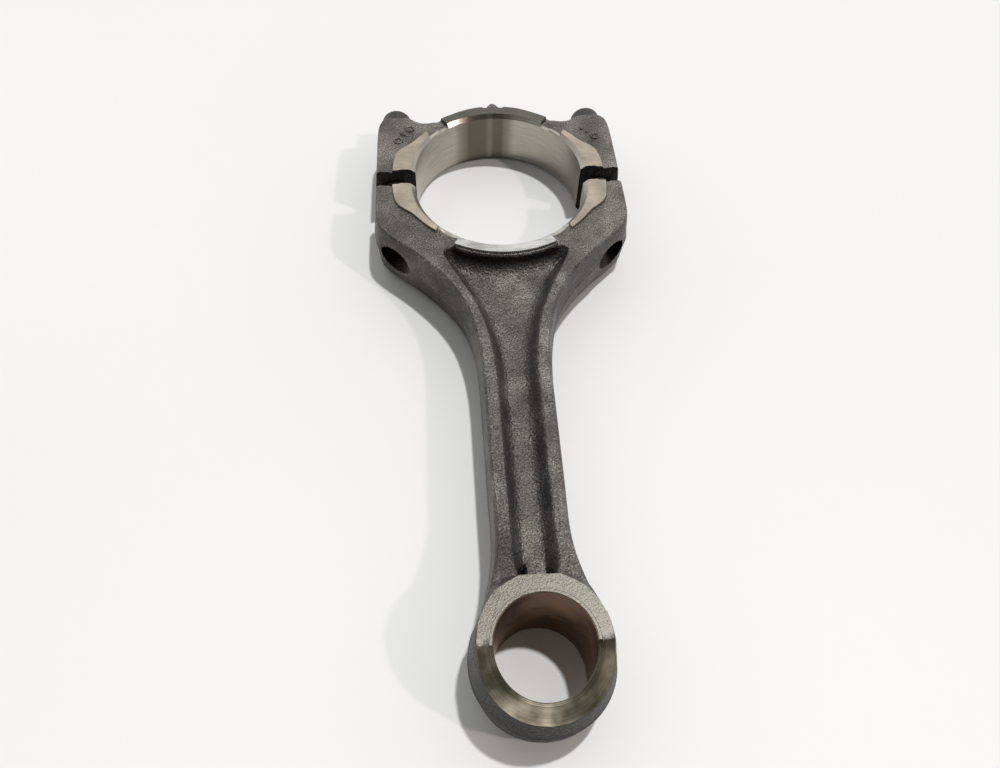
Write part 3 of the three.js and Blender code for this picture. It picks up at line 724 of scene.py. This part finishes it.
# The forging from its two plans, the outside and the pocket, and the heights of what stands on it
def makeRod():
    v = rodLook
    angles = np.array([24, 12, 0, -15, -30, -45, -60, -75, -90.0])
    small = circlePoint(np.full(9, v["endRadius"]), angles, smallEnd["centre"])
    small[0] *= [1.01, 1]   # a little fuller where the neck runs in
    right = curveThrough(np.vstack([v["flash"], small]), 0.75)
    # the top edge lies inside the flash line by the draft and the rounding
    along = np.gradient(right, axis=0)
    along /= np.hypot(*along.T)[:, None]
    inward = np.stack([along[:, 1], -along[:, 0]], 1)
    inward[0] = [-1, 0]
    inward[-1] = [0, 1]
    right = right + inward * rodOffset(right)[:, None]
    right[0, 1] = 0
    right[-1, 0] = 0
    edgeX = np.linspace(bigEnd["bore"], right[0, 0], 24)
    crackTop = np.column_stack([edgeX, crackHeight(edgeX, bigEnd["forging"])])
    right[0, 1] = crackTop[-1, 1]
    startAngle = np.degrees(np.arctan2(crackTop[0, 1], crackTop[0, 0]))
    arc = circlePoint(np.full(160, bigEnd["bore"]), np.linspace(-90, startAngle, 161)[1:])
    crackTop[0] = arc[-1]
    outline = mirroredLoopOpen(np.vstack([arc, crackTop[1:], right[1:]]))
    pads = [lobeOutline(-1, side, 46, 41) for side in (1, -1)] + [crescentOutline(-1, 30, 30.5)]
    back = circlePoint(np.full(22, v["ringBack"]), np.linspace(-90, -62, 22))
    pocket = mirroredLoop(np.vstack([back, curveThrough(v["pocket"], 0.6)]))
    padFace = mirroredLoop(evenly(np.array(v["pad"], float), 0.5))
    eye = circlePoint(np.full(120, smallEnd["eye"]), np.linspace(0, 360, 121)[:-1], smallEnd["centre"])

    def height(points):
        x, y = points.T
        base = v["flange"] + (bigEnd["forging"] - v["flange"]) * ease(-62, -36, y)
        base = base + 2.3 * ease(-113, -133, y)
        inPocket = insideDistance(points, pocket)
        fillet = 2.6 + 1.5 * ease(-124, -100, y) + 1.2 * ease(-56, -34, y)
        power = v["wallSteep"] * fillet / (base - v["web"])
        sunk = np.clip(1 - inPocket / fillet, 0, 1) ** power
        wall = v["web"] + (base - v["web"]) * np.where(inPocket < 0, 1 - power * inPocket / fillet, sunk)
        z = softLow(base, wall, 0.9 + 1.1 * ease(-30, -40, y))
        lugGap = v["lugRadius"] - np.hypot(x - v["lug"][0], np.maximum(y - v["lug"][1], 0))
        lug = softLow(np.full(len(x), v["lugTop"]), v["web"] + 1.5 + 9.0 * lugGap, 1.2)
        z = np.where((y > -131.5) & (y < -122), softHigh(z, lug, 0.5), z)
        onPad = insideDistance(points, padFace)
        # the forging falls away from the machined face, twice as steeply beside the lug
        falling = smallEnd["face"] + (1.5 + 2.5 * ease(6, 4, np.abs(x))) * np.minimum(onPad, 0) - 0.05
        z = np.where(y < -120, softHigh(z, falling, 0.7), z)
        z = np.where(onPad > -0.02, faceHeight(y, 0.05), np.minimum(z, smallEnd["face"] - 0.04))
        return np.where(y > -60, bigEndHeight(points, z, pads), z)

    def finish(points):
        kind = np.zeros(len(points), int)
        radius = np.hypot(*points.T)
        # the rod's crescent takes the lighter copy of the ground finish, a painted reflection
        for pad, name in zip(pads, ("ground", "ground", "groundLit")):
            kind[insideDistance(points, pad) > 0] = slotOf[name]
        kind[radius < bigEnd["bore"] + bigEnd["chamfer"]] = slotOf["bored"]
        onPad = insideDistance(points, padFace) > 0
        kind[onPad & (points[:, 1] > smallEnd["crease"])] = slotOf["blasted"]
        kind[onPad & (points[:, 1] <= smallEnd["crease"])] = slotOf["turned"]
        return kind

    def crisp(points):
        return 70 - 30 * ease(-139, -133, points[:, 1])

    def wallShape(points, top):
        return forgedWall(points, top, rodOffset, crisp)

    lines = []
    for pad in pads:
        for grow in (-bigEnd["padEdge"], bigEnd["padEdge"]):
            lines.append((evenlyClosed(offsetLoop(pad, grow), 0.6), True))
    for radius in boreRings:
        lines.append((circlePoint(np.full(200, radius), np.linspace(-177, -3, 200)), False))
    for y in (smallEnd["crease"] + 0.05, smallEnd["crease"] - 0.02):
        for side in (1, -1):
            lines.append((np.column_stack([side * np.linspace(12.9, 13.75, 3), np.full(3, y)]), False))
    padLine = evenly(np.array(v["pad"][:7], float), 0.5)
    for side in (1, -1):
        for shift in (0.0, 0.16):
            lines.append(((padLine + [0, shift]) * [side, 1] + [side * 0.01, 0], False))
    # loose points where the height bends most: down the pocket's wall, round the lug and beside it
    depths = (-1.0, -0.65, -0.35, -0.08, 0.2, 0.5, 0.85, 1.25, 1.7, 2.3, 3.0, 3.9)
    loose = [ringInside(pocket, depth) for depth in depths]
    for radius in (1.5, 1.9, 2.2, 2.5, 2.8, 3.2):
        loose.append(circlePoint(np.full(26, radius), np.linspace(-8, 188, 26)) + v["lug"])
    for side in (1, -1):
        for reach in (1.9, 2.4, 2.9):
            sideLine = [np.full(7, v["lug"][0] + side * reach), np.linspace(-127.8, -130.2, 7)]
            loose.append(np.column_stack(sideLine))
    loose = np.vstack(loose)
    for edge in pads:
        loose = loose[np.abs(insideDistance(loose, edge)) > 0.4]
    vertices, faces, slots = forgedSlab(outline, [eye], lines, loose, height, wallShape, finish)
    return newPiece("rodForging", vertices, faces, steelFinishes.values(), slots)


rodPiece = makeRod()
for side in (1, -1):
    cutWith(rodPiece, threadRows(side * screwAt["x"], -40, 4, 4.13, 0.3))
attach(rodPiece, "rod")
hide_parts("rod_body")
print("rod made,", len(rodPiece.data.polygons), "faces")

# ---- bearing cap ----

capLook = dict(
    # top edge going up the right-hand side: x, y, and how far the flash line lies outside it
    side=[(38.3, 0, 1.3), (38.3, 8, 1.3), (38.3, 15, 1.3), (38.2, 20, 1.3), (37.9, 23.4, 1.2),
          (37.2, 25.5, 1.0), (36.0, 26.8, 0.8)],
    seat=[(35.2, 27.1, 0.5), (30.4, 27.1, 0.5)],
    saddle=[(29.2, 27.0, 0.7), (27.8, 26.3, 1.0), (26.0, 24.9, 1.2), (24.2, 24.1, 1.2), (22.2, 24.0, 1.2),
            (20.2, 24.4, 1.1)],
    # radius of the crown's top edge at each angle
    crown=[(52, 30.9), (63, 30.9), (76, 31.4), (90, 31.5)], crownOffset=0.9, crownEnd=31.7, ribHeight=7.9,
    rib=[(3.6, 31.3, 0.8), (2.7, 31.9, 0.6), (1.6, 33.3, 0.5), (0.7, 34.5, 0.4), (0, 34.7, 0.4)],
    # forging marks: kind, place, and how far a bar is turned
    marks=[("ring", -31.9, 15.2, 0), ("bar", -30.0, 18.2, -33), ("ring", -28.2, 21.0, 0),
           ("dot", 29.0, 19.9, 0), ("dot", 30.7, 18.3, 0), ("ring", 33.1, 15.9, 0)], markHeight=0.42)


# The cap from its plan: parting, boss, screw seat, saddle, crown and rib, going up the right
def makeCap():
    v = capLook
    angle = np.linspace(52, 83, 40)
    crown = circlePoint(np.interp(angle, *np.array(v["crown"]).T), angle)
    crown = np.column_stack([crown, np.full(40, v["crownOffset"])])
    right = np.vstack([curveThrough(v["side"], 0.75), evenly(np.array(v["seat"]), 0.75),
                       curveThrough(v["saddle"], 0.6), evenly(crown, 0.75), curveThrough(v["rib"], 0.5)])
    offsets = right.copy()
    right = right[:, :2].copy()
    edgeX = np.linspace(bigEnd["bore"], right[0, 0], 24)
    crackTop = np.column_stack([edgeX, crackHeight(edgeX, bigEnd["forging"])])
    startAngle = np.degrees(np.arctan2(crackTop[0, 1], crackTop[0, 0]))
    arc = circlePoint(np.full(160, bigEnd["bore"]), np.linspace(90, startAngle, 161)[1:])
    arc = np.vstack([[0, bigEnd["bore"]], arc])
    crackTop[0] = arc[-1]
    right[-1, 0] = 0
    outline = mirroredLoopOpen(np.vstack([arc, crackTop[1:], right[1:]]))
    pads = [lobeOutline(1, side, 40, 35) for side in (1, -1)] + [crescentOutline(1, 35, 34)]

    def height(points):
        base = np.full(len(points), bigEnd["forging"])
        onRib = (np.hypot(*points.T) > v["crownEnd"]) & (points[:, 1] > 30)
        return np.where(onRib, v["ribHeight"], bigEndHeight(points, base, pads))

    def offset(points):
        gap = np.hypot(np.abs(points[:, :1]) - offsets[:, 0], points[:, 1:] - offsets[:, 1])
        return offsets[gap.argmin(1), 2]

    def crisp(points):
        return np.where(offset(points) < 1.15, 60.0, 45.0)

    def wallShape(points, top):
        return forgedWall(points, top, offset, crisp)

    def finish(points):
        kind = np.zeros(len(points), int)
        # the crescent takes the darker blasted finish instead of the ground one: painted shade
        for pad, name in zip(pads, ("ground", "ground", "blasted")):
            kind[insideDistance(points, pad) > 0] = slotOf[name]
        kind[np.hypot(*points.T) < bigEnd["bore"] + bigEnd["chamfer"]] = slotOf["bored"]
        kind[(np.hypot(*points.T) > v["crownEnd"]) & (points[:, 1] > 25)] = slotOf["forged"]
        return kind

    lines = []
    for pad in pads[:2]:
        for grow in (-bigEnd["padEdge"], bigEnd["padEdge"]):
            lines.append((evenlyClosed(offsetLoop(pad, grow), 0.6), True))
    for end in (55, 125):
        for shift in (-0.25, 0.25):
            lines.append((circlePoint(np.linspace(25.5, 31.2, 12), np.full(12, end + shift)), False))
    for radius in boreRings:
        lines.append((circlePoint(np.full(200, radius), np.linspace(3, 177, 200)), False))
    loose = circlePoint(np.full(80, 30.9), np.linspace(53, 127, 80))
    vertices, faces, slots = forgedSlab(outline, [], lines, loose, height, wallShape, finish)
    # raised forging marks, sunk into the bosses
    for kind, x, y, turn in v["marks"]:
        more, moreFaces = markShape(kind, x, y, turn)
        faces += [[corner + len(vertices) for corner in face] for face in moreFaces]
        slots += [0] * len(moreFaces)
        vertices = np.vstack([vertices, more])
    vertices[:, 1] += bigEnd["gap"]
    return newPiece("capForging", vertices, faces, steelFinishes.values(), slots)


# A mark whose cross-section is a flat round: a dot, a bar, or a ring
def markShape(kind, x, y, turn):
    high, middle = capLook["markHeight"], bigEnd["forging"]
    around = np.linspace(0, 2 * np.pi, 36, endpoint=False)
    if kind == "ring":
        tube = np.linspace(0, 2 * np.pi, 12, endpoint=False)[None]
        reach = 1.25 + 0.4 * np.cos(tube)
        turned = around[:, None]
        rows = [x + reach * np.cos(turned), y + reach * np.sin(turned),
                middle + high * np.sin(tube) + 0 * turned]
        return gridBothWays(np.stack(rows, -1))
    rise = np.linspace(-0.5 * np.pi, 0.5 * np.pi, 9)[1:-1, None]
    grow = np.cos(rise) ** 0.6
    wide, long = (0.42, 1.3) if kind == "bar" else (0.6, 0.0)
    px = wide * grow * np.cos(around) + long * np.sign(np.round(np.cos(around), 6)) * grow ** 0.3
    py = wide * grow * np.sin(around)
    a = math.radians(turn)
    rows = [x + px * math.cos(a) - py * math.sin(a), y + px * math.sin(a) + py * math.cos(a),
            middle + high * np.sin(rise) + 0 * px]
    return rowsToShell(np.stack(rows, -1))


capPiece = makeCap()
for side in (1, -1):
    cutWith(capPiece, plainRows(side * screwAt["x"], 2, 45, 4.65))
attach(capPiece, "cap")
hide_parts("bearing_cap")
print("cap made,", len(capPiece.data.polygons), "faces")

# ---- cap screws ----

screwShape = dict(underHead=34.1, headRadius=5.0, headEnd=43.0, socketFloor=38.4, socket=3.2,
                  socketTooth=0.3, tip=-13.6, threadEnd=7.4, waist=3.8, shoulder=4.3)


# One screw turned about its own line: tip, helical thread, waist, shoulder, head with a rounded
# far rim, and a twelve-lobed socket whose radius swings with the angle
def screwRows(x):
    v = screwShape
    around = 96
    theta = np.linspace(0, 2 * np.pi, around, endpoint=False)
    thread = threadRows(x, v["tip"] + 0.9, v["threadEnd"], 3.95, 0.3, around=around)
    rim = np.radians(np.linspace(0, 90, 7))
    profile = [(3.1, v["tip"]), (3.5, v["tip"] + 0.3)]
    after = [(3.9, v["threadEnd"] + 0.3), (v["waist"], v["threadEnd"] + 0.9), (v["waist"], 24.6),
             (v["shoulder"], 25.4), (v["shoulder"], 33.4), (4.5, 33.95), (4.75, v["underHead"]),
             (v["headRadius"], v["underHead"] + 0.3), (v["headRadius"], v["headEnd"] - 1.7)]
    after += [(v["headRadius"] - 1.3 * (1 - math.cos(a)), v["headEnd"] - 1.5 + 1.5 * math.sin(a))
              for a in rim[1:]]

    def turnedRows(pairs, star=0.0):
        r, y = np.array(pairs).T[:, :, None]
        r = r + star * np.cos(12 * theta)[None]
        return np.stack([x + r * np.sin(theta), y + 0 * r, r * np.cos(theta)], -1)

    socket = [(v["socket"] + 0.25, v["headEnd"] - 0.02), (v["socket"], v["headEnd"] - 0.3),
              (v["socket"], v["socketFloor"])]
    floor = turnedRows([(2.6, v["socketFloor"] - 0.3), (0.8, v["socketFloor"] - 0.7)])
    lobed = turnedRows(socket, v["socketTooth"])
    return np.vstack([turnedRows(profile), thread, turnedRows(after), lobed, floor])


for side, name in ((-1, "left"), (1, "right")):
    vertices, faces = rowsToShell(screwRows(side * screwAt["x"]))
    screw = newPiece(name + "Screw", vertices, faces, [phosphated], sharp=28)
    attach(screw, name + "_screw")
    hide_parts("cap_screw_" + name)
print("screws made")

# ---- small-end bush ----

bushLook = dict(bore=11.0, outside=11.9, edge=0.28, outerEdge=0.03)


# A ring closed both ways: a profile of the wall carried round the bore, its ends following the
# machined faces
def makeBush():
    v = bushLook
    theta = np.linspace(0, 2 * np.pi, 288, endpoint=False)[:, None]
    wall = np.linspace(-1, 1, 14)
    inside, outside = v["bore"] + v["edge"], v["outside"] - v["outerEdge"]
    radii = np.concatenate([np.full(14, v["bore"]), [inside, outside, v["outside"]],
                            [v["outside"], outside, inside]])[None]
    y = smallEnd["centre"] + radii * np.sin(theta)
    x = radii * np.cos(theta)
    top = faceHeight(y)
    share = np.concatenate([wall, [1, 1, 1], [-1, -1, -1]])[None]
    inset = np.concatenate([np.full(14, v["edge"]), [0, 0, v["outerEdge"]], [v["outerEdge"], 0, 0]])[None]
    z = share * (top - inset)
    rows = np.stack([x, y, z], -1)
    vertices, faces = gridBothWays(rows)
    # the ends match the eye round them, with a bright cut edge towards the shank
    across = rows.shape[1]
    column = np.tile(np.arange(across), len(rows))
    onEnd = ((column >= 13) & (column <= 15)) | (column >= 17)
    nearShank = np.repeat(y.mean(1), across) > smallEnd["crease"]
    onEdge = (column == 13) | (column == 19)
    slots = np.where(onEnd, np.where(nearShank, np.where(onEdge, 1, 3), 2), 0)
    piece = newPiece("bush", vertices, faces, [bronze, rim, turned, blasted], slots, sharp=30)
    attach(piece, "rod")
    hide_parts("small_end_bush")
    return piece


bushPiece = makeBush()
print("bush made")

# ---- camera, floor, light ----

# degrees, then millimetres
view = dict(azimuth=-6.148, elevation=54.732, roll=2.907, target=(-3.694, -64.60, -9.18), distance=232.2,
            lens=29.25)


# The camera stands off its target by azimuth and elevation, and is turned about its own line
def makeCamera():
    v = view
    az, el, roll = (math.radians(v[k]) for k in ("azimuth", "elevation", "roll"))
    back = Vector((math.sin(az) * math.cos(el), -math.cos(az) * math.cos(el), math.sin(el)))
    right = (-back).cross(Vector((0, 0, 1))).normalized()
    up = right.cross(-back)
    r = math.cos(roll) * right + math.sin(roll) * up
    u = -math.sin(roll) * right + math.cos(roll) * up
    place = (Vector(v["target"]) + Vector(toFrame) + v["distance"] * back) / 1000
    data = bpy.data.cameras.new("camera")
    data.lens, data.sensor_width, data.clip_start = v["lens"], 36, 0.01
    camera = bpy.data.objects.new("camera", data)
    camera.matrix_world = Matrix.Translation(place) @ Matrix((r, u, back)).transposed().to_4x4()
    bpy.context.scene.collection.objects.link(camera)
    bpy.context.scene.camera = camera


studio = dict(floorTilt=0.87, floorTint="#e9eaea", floorLight="#f2f2f1", worldTint="#f1f1ee",
              worldPower=0.68, floorUnder=(0, -130.5, -11.75),
              # each lamp: which way its light travels, power, tint, angular size in degrees
              ceiling=((-0.2, -0.19, -1.0), 1.7, "#ffffff", 2.5),
              window=((-0.91, 0.4, -1.0), 0.55, "#fff1ea", 3.0))


# Pale floor under the small end's flat and the far edge of the cap, so tipped by what the small
# end is thicker
def makeStudio():
    v = studio
    rest = np.array(v["floorUnder"]) + toFrame
    grid = np.linspace(-1.5, 1.5, 9)
    gx, gy = np.meshgrid(grid, grid)
    gz = rest[2] / 1000 + (gy - rest[1] / 1000) * math.tan(math.radians(v["floorTilt"])) - 0.0001
    index = np.arange(81).reshape(9, 9)
    faces = np.stack([index[:-1, :-1], index[:-1, 1:], index[1:, 1:], index[1:, :-1]], -1).reshape(-1, 4)
    mesh = bpy.data.meshes.new("floor")
    mesh.from_pydata(np.stack([gx, gy, gz], -1).reshape(-1, 3), [], faces.tolist())
    material, tree, shader = newMaterial("paleTable")
    at = addNode(tree, "ShaderNodeTexCoord").outputs["Object"]
    cloud = addNode(tree, "ShaderNodeTexNoise", {"Vector": at, "Scale": 3.0})
    tint = colourRamp(tree, cloud.outputs[0], [(0, v["floorTint"]), (1, v["floorLight"])])
    tree.links.new(tint, shader.inputs["Base Color"])
    shader.inputs["Roughness"].default_value = 0.6
    mesh.materials.append(material)
    floor = bpy.data.objects.new("floor", mesh)
    bpy.context.scene.collection.objects.link(floor)
    # the room: light towards the far side, dim behind the viewer and straight overhead
    world = bpy.data.worlds.new("studio")
    bpy.context.scene.world = world
    world.use_nodes = True
    room = world.node_tree
    way = addNode(room, "ShaderNodeTexCoord").outputs["Generated"]
    toward = addNode(room, "ShaderNodeSeparateXYZ", {0: way})
    depth = rescale(room, toward.outputs[1], 0.28, 1.5, -0.5, 0.7)
    overhead = rescale(room, toward.outputs[2], 1.0, 0.35, 0.86, 0.98)
    power = addNode(room, "ShaderNodeMath", {0: depth, 1: overhead}, operation="MULTIPLY")
    mix = {0: power.outputs[0], 1: v["worldPower"]}
    strength = addNode(room, "ShaderNodeMath", mix, operation="MULTIPLY")
    room.nodes["Background"].inputs[0].default_value = linear(v["worldTint"])
    room.links.new(strength.outputs[0], room.nodes["Background"].inputs[1])
    for name in ("ceiling", "window"):
        way, lampPower, tint, across = v[name]
        data = bpy.data.lights.new(name, "SUN")
        data.energy, data.color, data.angle = lampPower, linear(tint)[:3], math.radians(across)
        lamp = bpy.data.objects.new(name, data)
        lamp.rotation_euler = Vector(way).to_track_quat("-Z", "Y").to_euler()
        bpy.context.scene.collection.objects.link(lamp)


makeCamera()
makeStudio()
bpy.context.scene.view_settings.view_transform = "Standard"
# the nodes that the pieces replace carry a material too
for node in ("rod_body", "bearing_cap", "cap_screw_left", "cap_screw_right", "small_end_bush"):
    hidden = bpy.data.objects.get(node)
    if hidden and not hidden.data.materials:
        hidden.data.materials.append(forged)
print("studio ready")
